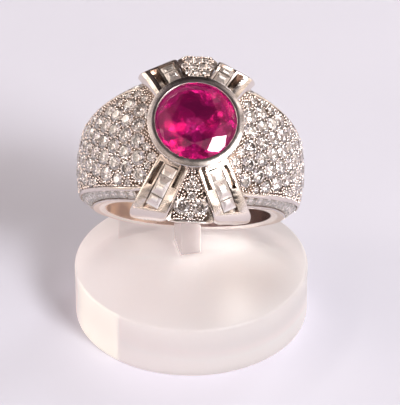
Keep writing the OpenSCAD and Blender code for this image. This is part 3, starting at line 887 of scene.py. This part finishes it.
BAR_CROWN, BAR_DEPTH = 0.24 * MM, 0.5 * MM
SIDE_CROWN, SIDE_DEPTH = 0.12 * MM, 0.3 * MM
CORNERS = ["front_right", "front_left", "back_right", "back_left"]
for corner in CORNERS:
    troughs = bmesh.new()
    bar_nodes = sorted(n for n in cad if n.startswith(f"bar_baguette_{corner}_"))
    for node in bar_nodes:
        bm = bmesh.new()
        axis, girdle = corner_quad(*solids_of(cad[node])[0])
        cut_baguette(bm, axis, girdle, BAR_CROWN, BAR_DEPTH)
        baguette_seat(troughs, axis, girdle, BAR_DEPTH)
        piece(node + "_cut", bm, diamond, [node])
    bm = bmesh.new()
    for corners, faces in solids_of(cad["side_baguettes_" + corner]):
        axis, girdle = corner_quad(corners, faces)
        cut_baguette(bm, axis, girdle, SIDE_CROWN, SIDE_DEPTH)
        baguette_seat(troughs, axis, girdle, SIDE_DEPTH)
    piece(f"side_baguettes_{corner}_cut", bm, side_diamond, ["side_baguettes_" + corner])
    piece(f"baguette_seats_{corner}", troughs, seat_metal)


# %% [markdown]
# ## The ruby
#
# Old rubies are often cut by hand to save weight: a brilliant's crown over a pavilion of staggered facets
# that are not quite even. That breaks the red up into patches, so a fixed random draw shifts the pavilion's
# corners a little.


# %% Ruby cut
RUBY_EDGE = 0.05 * MM
UNEVEN_MM = 0.2
# Rows down the pavilion: shares of the ruby's radius and depth, and half a step's turn or none.
RUBY_ROWS = [(0.84, 0.2, 0.5), (0.62, 0.46, 0.0), (0.36, 0.74, 0.5), (0.1, 0.96, 0.0)]


def ruby_points():
    """The ruby's rows of corners, from its table down to its point."""
    depth = ruby_top - RUBY_CROWN - ruby_low
    rows = [
        ring_of(8, 0.58 * ruby_radius, RUBY_CROWN),
        ring_of(8, 0.8 * ruby_radius, RUBY_CROWN * 0.6, 0.5),
        ring_of(16, ruby_radius, RUBY_EDGE),
        ring_of(16, ruby_radius, -RUBY_EDGE),
    ]
    rng = np.random.default_rng(11)
    for share, down, half in RUBY_ROWS:
        even = ring_of(16, share * ruby_radius, -down * depth, half)
        rows.append([tuple(np.array(p) + rng.uniform(-UNEVEN_MM, UNEVEN_MM, 3) * MM) for p in even])
    return rows


def cut_ruby():
    """The ruby as a mesh of facets."""
    bm = bmesh.new()
    lift = Vector((0, 0, RUBY_GIRDLE_HEIGHT))
    v = [[bm.verts.new(from_ring @ (Vector(p) + lift)) for p in row] for row in ruby_points()]
    cut_crown(bm, *v[:3])
    join_rows(bm, v[2:4])
    # Below the girdle each row is turned by half a step from the last, so triangles join them.
    for k in range(3, 7):
        for i in range(16):
            j = (i + 1) % 16
            if k % 2 == 1:
                bm.faces.new((v[k][i], v[k][j], v[k + 1][i]))
                bm.faces.new((v[k][j], v[k + 1][j], v[k + 1][i]))
            else:
                bm.faces.new((v[k][i], v[k][j], v[k + 1][j]))
                bm.faces.new((v[k][i], v[k + 1][j], v[k + 1][i]))
    bm.faces.new(v[7])
    return bm


piece("ruby_cut", cut_ruby(), ruby_red, ["ruby"])

# %% [markdown]
# ## The stand
#
# The disc is cast acrylic with a frosted skin, so light goes in and spreads. The upright is clear acrylic
# sheet. Tracing all the light that wanders through the disc would take minutes and stay noisy, so light
# scatters only under its skin, and a faint glow adds what comes from farther off: on the side away from the
# windows, along the foot of the wall, round the upright, and in a sharp-edged patch where the curved wall
# gathers light.


# %% The disc's glow
WALL_EDGE = (12.35 * MM, 12.2 * MM)
LEFT_TO_RIGHT = (-14 * MM, 12 * MM)
PATCH_START, PATCH_END = (-2.75, -2.95), (-2.26, -2.21)
WALL_FOOT = (-6.2 * MM, -1.8 * MM)
SHADE_SLOPE = 0.433
SHADE_EDGE = (7.8 * MM, 7.4 * MM)
SHADE_LEFT, SHADE_RIGHT = (-7.75 * MM, -8.0 * MM), (-4.5 * MM, -1.8 * MM)
# Soft round areas on the disc's top: (x, y) from its middle, two radii in millimetres, and how much light.
BRIGHT_AREAS = [
    ((4.4, 4.0), (0.8, 3.6), 0.12),
    ((-0.5, 5.0), (2.0, 8.0), 0.18),
    ((-6.0, 2.8), (0.5, 3.8), 0.12),
]
STILL_AREA = ((5.4, -2.6), (0.0, 8.0))
EVEN_GLOW = 0.045

disc_top = middle_of("stand_base")
disc_top.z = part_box("stand_base")[1].z


def round_area(tree, point, middle, radii):
    """1 near a spot on the disc's top, softly down to 0 farther off."""
    spot = Vector((*middle, 0.0)) * MM
    away = add(tree, "VectorMath", {0: point, 1: spot}, operation="DISTANCE")
    return fade(tree, away, radii[0] * MM, radii[1] * MM)


def carried_light(tree, point):
    """The disc's glow at a point measured from the middle of its top, as a colour."""
    x, y, z = add(tree, "SeparateXYZ", {"Vector": point}).outputs
    wall = fade(tree, distance_from(tree, x, y), *WALL_EDGE)
    left = fade(tree, x, *LEFT_TO_RIGHT)
    right = fade(tree, x, *LEFT_TO_RIGHT[::-1])
    turn = add(tree, "Math", {0: y, 1: x}, operation="ARCTAN2")
    patch = product(tree, fade(tree, turn, *PATCH_START), fade(tree, turn, *PATCH_END), wall)
    less_left = add(tree, "Math", {0: left, 1: -0.5, 2: 1.0}, operation="MULTIPLY_ADD")
    foot = product(tree, wall, fade(tree, z, *WALL_FOOT), less_left)
    # The upright's shade lies behind a slanting line, on its left.
    behind = add(tree, "Math", {0: x, 1: -SHADE_SLOPE, 2: y}, operation="MULTIPLY_ADD")
    sides = product(tree, fade(tree, x, *SHADE_LEFT), fade(tree, x, *SHADE_RIGHT))
    shade = product(tree, fade(tree, behind, *SHADE_EDGE), sides)
    parts = [(left, 0.18), (patch, 0.2), (foot, 0.34), (product(tree, wall, right), 0.03), (shade, -0.1)]
    parts += [(round_area(tree, point, middle, radii), share) for middle, radii, share in BRIGHT_AREAS]
    level = EVEN_GLOW
    for part, share in parts:
        inputs = {0: part, 1: share, 2: level}
        level = add(tree, "Math", inputs, operation="MULTIPLY_ADD")
    tones = {"Factor": patch, COLOUR_A: "#FFEEE8", COLOUR_B: "#FFF4DE"}
    tone = add(tree, "Mix", tones, data_type="RGBA")
    dimmed = {"Factor": level, COLOUR_A: "#000000", COLOUR_B: tone}
    return add(tree, "Mix", dimmed, data_type="RGBA")


print("middle of the disc's top:", [round(v / MM, 2) for v in disc_top], "mm")


# %% Acrylic
def acrylic(name, body, glow, roughness, transmission, spread_mm, grain_mm):
    """Acrylic that scatters light under its skin, with a glow of painted light. Body and glow are colours, or
    functions that make them.
    """
    material, tree, place = new_material(name)
    centre = {0: place, 1: disc_top}
    point = add(tree, "VectorMath", centre, operation="SUBTRACT")
    grain = add(tree, "TexNoise", {"Vector": place, "Scale": 1 / (grain_mm * MM), "Detail": 4.0})
    uneven = {"Value": grain, "To Min": roughness * 0.8, "To Max": roughness * 1.2}
    skin = {
        "Base Color": body(tree, point) if callable(body) else body,
        "Roughness": add(tree, "MapRange", uneven),
        "IOR": 1.49,
        "Transmission Weight": transmission,
        "Subsurface Weight": 1.0,
        "Subsurface Radius": (1.0, 0.92, 0.9),
        "Subsurface Scale": spread_mm * MM,
        "Emission Color": glow(tree, point) if callable(glow) else glow,
        "Emission Strength": 1.0,
    }
    add(tree, "OutputMaterial", {"Surface": add(tree, "BsdfPrincipled", skin)})
    return material


def frosted_body(tree, point):
    """Right of the upright less light comes back out of the disc, so its skin is a little darker there."""
    tones = {"Factor": round_area(tree, point, *STILL_AREA), COLOUR_A: "#E1DADC", COLOUR_B: "#C9C1C1"}
    return add(tree, "Mix", tones, data_type="RGBA")


def dress(node, material):
    """Gives a CAD node that stays a finished material."""
    mesh = cad[node].data
    mesh.materials.clear()
    mesh.materials.append(material)
    print(node, "is", material.name)


# Blasted skin: milky and soft, with no sharp reflection. Its grain is too fine to show and is drawn coarser.
frosted = acrylic("frosted_acrylic", frosted_body, carried_light, 0.4, 0.5, spread_mm=14.0, grain_mm=0.4)
# Polished sheet: it takes the tone of what is behind it and shows a soft sheen; a steady glow is painted
# light that lightens it.
clear = acrylic("clear_acrylic", "#AEA8A8", "#6C6464", 0.12, 0.6, spread_mm=6.0, grain_mm=1.5)
dress("stand_base", frosted)
dress("stand_clip", clear)

# %% [markdown]
# ## Camera
#
# The photograph looks down on the stand from about 35 degrees with a long lens, as the disc's ellipse and the
# ring's size show. The middle of the disc's top lies at one known pixel, and the camera is aimed by it.


# %% Camera
VIEW_ELEVATION = math.radians(35.4)
VIEW_DISTANCE = 300 * MM
FOCAL_PIXELS = 2796
FRAME_WIDTH, FRAME_HEIGHT = 400, 405
DISC_PIXEL = (191.1, 261.0)
SENSOR_WIDTH = 36.0

away = Vector((0, -math.cos(VIEW_ELEVATION), math.sin(VIEW_ELEVATION)))
view_up = Vector((0, math.sin(VIEW_ELEVATION), math.cos(VIEW_ELEVATION)))
aim = -away * FOCAL_PIXELS
aim += Vector((1, 0, 0)) * (FRAME_WIDTH / 2 - DISC_PIXEL[0])
aim += view_up * (DISC_PIXEL[1] - FRAME_HEIGHT / 2)

camera_data = bpy.data.cameras.new("photo_camera")
camera_data.sensor_width = SENSOR_WIDTH
camera_data.lens = FOCAL_PIXELS / FRAME_HEIGHT * SENSOR_WIDTH
camera_data.clip_start = 0.01
camera_data.clip_end = 10.0
camera = into_scene("photo_camera", camera_data)
camera.location = disc_top + away * VIEW_DISTANCE
camera.rotation_euler = aim.to_track_quat("-Z", "Y").to_euler()
bpy.context.scene.camera = camera
print("lens", round(camera_data.lens, 1), "mm")


# %% [markdown]
# ## Floor
#
# The stand is on a large sheet of pale paper. One flat grid is enough, because its far edge doesn't show.


# %% Floor
PAPER_GRAIN = 25 * MM


def pale_paper():
    """Uncoated paper: matt, and not quite one tone."""
    material, tree, place = new_material("pale_paper")
    grain = add(tree, "TexNoise", {"Vector": place, "Scale": 1 / PAPER_GRAIN, "Detail": 2.0})
    stops = [(0.3, "#CCCCDA"), (0.7, "#CECEDC")]
    tone = add(tree, "ValToRGB", {"Fac": grain}, stops=stops)
    body = add(tree, "BsdfPrincipled", {"Base Color": tone, "Roughness": 0.7})
    add(tree, "OutputMaterial", {"Surface": body})
    return material


bm = bmesh.new()
bmesh.ops.create_grid(bm, x_segments=2, y_segments=2, size=0.8)
floor_mesh = bpy.data.meshes.new("floor")
bm.to_mesh(floor_mesh)
bm.free()
floor_mesh.materials.append(pale_paper())
floor = into_scene("floor", floor_mesh)
print("floor of", [round(side, 2) for side in floor.dimensions], "m")

# %% [markdown]
# ## Lamps
#
# The photo's light comes from windows on the right, in front of the ring, and a little from behind. Square
# area lamps do the same: their size sets how soft the shadows are, and each shows as a window in the ruby. A
# tiny one inside the ring stands for light that the ring throws down on the disc.


# %% Lamps
def softbox(name, towards, distance, size, power, hex_code):
    """A square area lamp that looks at the ring. Sizes are in metres, power in watts."""
    data = bpy.data.lights.new(name, "AREA")
    data.size = size
    data.energy = power
    data.color = linear(hex_code)[:3]
    lamp = into_scene(name, data)
    direction = Vector(towards).normalized()
    lamp.location = ring_centre + direction * distance
    lamp.rotation_euler = direction.to_track_quat("Z", "Y").to_euler()
    return lamp


softbox("window_light", (0.605, -0.467, 0.643), 1.0, 0.3, 1.7, "#FFFAF4")
softbox("second_window", (0.5, -0.64, 0.56), 1.1, 0.3, 11.4, "#FFFDFB")
softbox("back_window", (0.45, 0.75, 0.55), 0.8, 0.2, 1.2, "#FFFFFF")
thrown = softbox("light_thrown_down", (0.0, 0.0, -1.0), 0.001, 0.003, 0.0013, "#FFF8F0")
thrown.location = disc_top + Vector((5.0, 1.5, 8.0)) * MM
thrown.rotation_euler = Vector((1.3, -2.3, 8.0)).to_track_quat("Z", "Y").to_euler()

# %% [markdown]
# ## The room that the ring mirrors
#
# Gold and diamonds show what is round them, and an even sky would make them look like plaster. So the sky is
# a soft gradient with dark cards over it, as a photographer holds black card near jewellery, bands behind the
# camera, and small bright panes and dark things for the stones to break up. A picture of a room could do this
# too, but the notebook uses no picture files.


# %% The mirrored room
# Directions from the ring, and the cosines of two half angles: full inside the first, gone past the second.
DARK_CARDS = [
    ((0.0, -0.25, 0.97), (0.975, 0.9), "#453E40"),
    ((0.0, 0.85, 0.5), (0.94, 0.78), "#3C3233"),
    ((0.0, 0.42, 0.91), (0.97, 0.9), "#332B2C"),
    ((0.0, -0.95, 0.3), (0.965, 0.92), "#3C3230"),
]
PANES = [
    ((-0.55, -0.2, 0.81), (0.965, 0.91), 0.8),
    ((-0.85, -0.2, 0.5), (0.996, 0.988), 5.0),
    ((-0.5, -0.75, 0.45), (0.996, 0.988), 4.0),
    ((-0.7, 0.45, 0.55), (0.996, 0.988), 5.0),
]
BEHIND_CAMERA = ((0.0, -0.82, 0.57), (0.93, 0.7))
BAND_REACH = 0.7
CAMERA_BANDS = [
    (0.05, "#FFFFFF"),
    (0.14, "#A69E9A"),
    (0.22, "#A09894"),
    (0.3, "#FFFFFF"),
    (0.4, "#F0E8E2"),
    (0.45, "#5E5652"),
    (0.55, "#5A504C"),
    (0.62, "#E8E2DE"),
    (0.76, "#DCD6D0"),
    (0.84, "#8A807A"),
    (0.93, "#FFFFFF"),
]
SKY_TONES = [(0.0, "#EDE3DC"), (0.35, "#FDF0E2"), (0.8, "#E6DAD2"), (1.0, "#847A7A")]

world = bpy.data.worlds.new("studio")
bpy.context.scene.world = world
world.use_nodes = True
sky = world.node_tree
sky.nodes.clear()
way = add(sky, "TexCoord").outputs["Generated"]


def round_card(towards, edge):
    """1 in a round area of the sky and softly down to 0 past it."""
    middle = {0: way, 1: Vector(towards).normalized()}
    facing = add(sky, "VectorMath", middle, operation="DOT_PRODUCT")
    return fade(sky, facing, *edge)


def laid_over(factor, under, over, blend="MIX"):
    """A colour laid over the sky's colour, or multiplied into it."""
    layers = {"Factor": factor, COLOUR_A: under, COLOUR_B: over}
    return add(sky, "Mix", layers, data_type="RGBA", blend_type=blend)


sideways, _, up = add(sky, "SeparateXYZ", {"Vector": way}).outputs
colour = add(sky, "ValToRGB", {"Fac": up}, stops=SKY_TONES)
for towards, edge, hex_code in DARK_CARDS:
    colour = laid_over(round_card(towards, edge), colour, hex_code)
in_front = round_card(*BEHIND_CAMERA)
reach = {"Value": sideways, "From Min": -BAND_REACH, "From Max": BAND_REACH}
along = add(sky, "MapRange", reach)
bands = add(sky, "ValToRGB", {"Fac": along}, stops=CAMERA_BANDS)
colour = laid_over(in_front, colour, bands, "MULTIPLY")

# Large spots give dark things and bright panes, which stay out of the bands. Small ones give the sparkle.
large = add(sky, "TexNoise", {"Vector": way, "Scale": 6.0, "Detail": 1.0})
calm = {"Factor": in_front, NUMBER_A: large, NUMBER_B: 0.5}
spots = add(sky, "Mix", calm)
dark_stops = [(0.36, "#4A3A34"), (0.42, "#FFFFFF")]
dark = add(sky, "ValToRGB", {"Fac": spots}, stops=dark_stops)
colour = laid_over(1.0, colour, dark, "MULTIPLY")
bright = {"Value": spots, "From Min": 0.59, "From Max": 0.64, "To Min": 0.83, "To Max": 3.0}
windows = add(sky, "MapRange", bright)
small = add(sky, "TexNoise", {"Vector": way, "Scale": 15.0, "Detail": 0.0})
sparkle_stops = [(0.4, 0.16), (0.47, 0.5), (0.53, 0.5), (0.6, 1.0)]
sparkle = add(sky, "ValToRGB", {"Fac": small}, stops=sparkle_stops)
strength = product(sky, windows, sparkle, 2.0)
for towards, edge, level in PANES:
    pane = {0: round_card(towards, edge), 1: level, 2: strength}
    strength = add(sky, "Math", pane, operation="MULTIPLY_ADD")
add(sky, "OutputWorld", {"Surface": add(sky, "Background", {"Color": colour, "Strength": strength})})
bpy.context.scene.view_settings.view_transform = "Standard"
print(len(DARK_CARDS), "dark cards and", len(PANES), "panes in the sky")
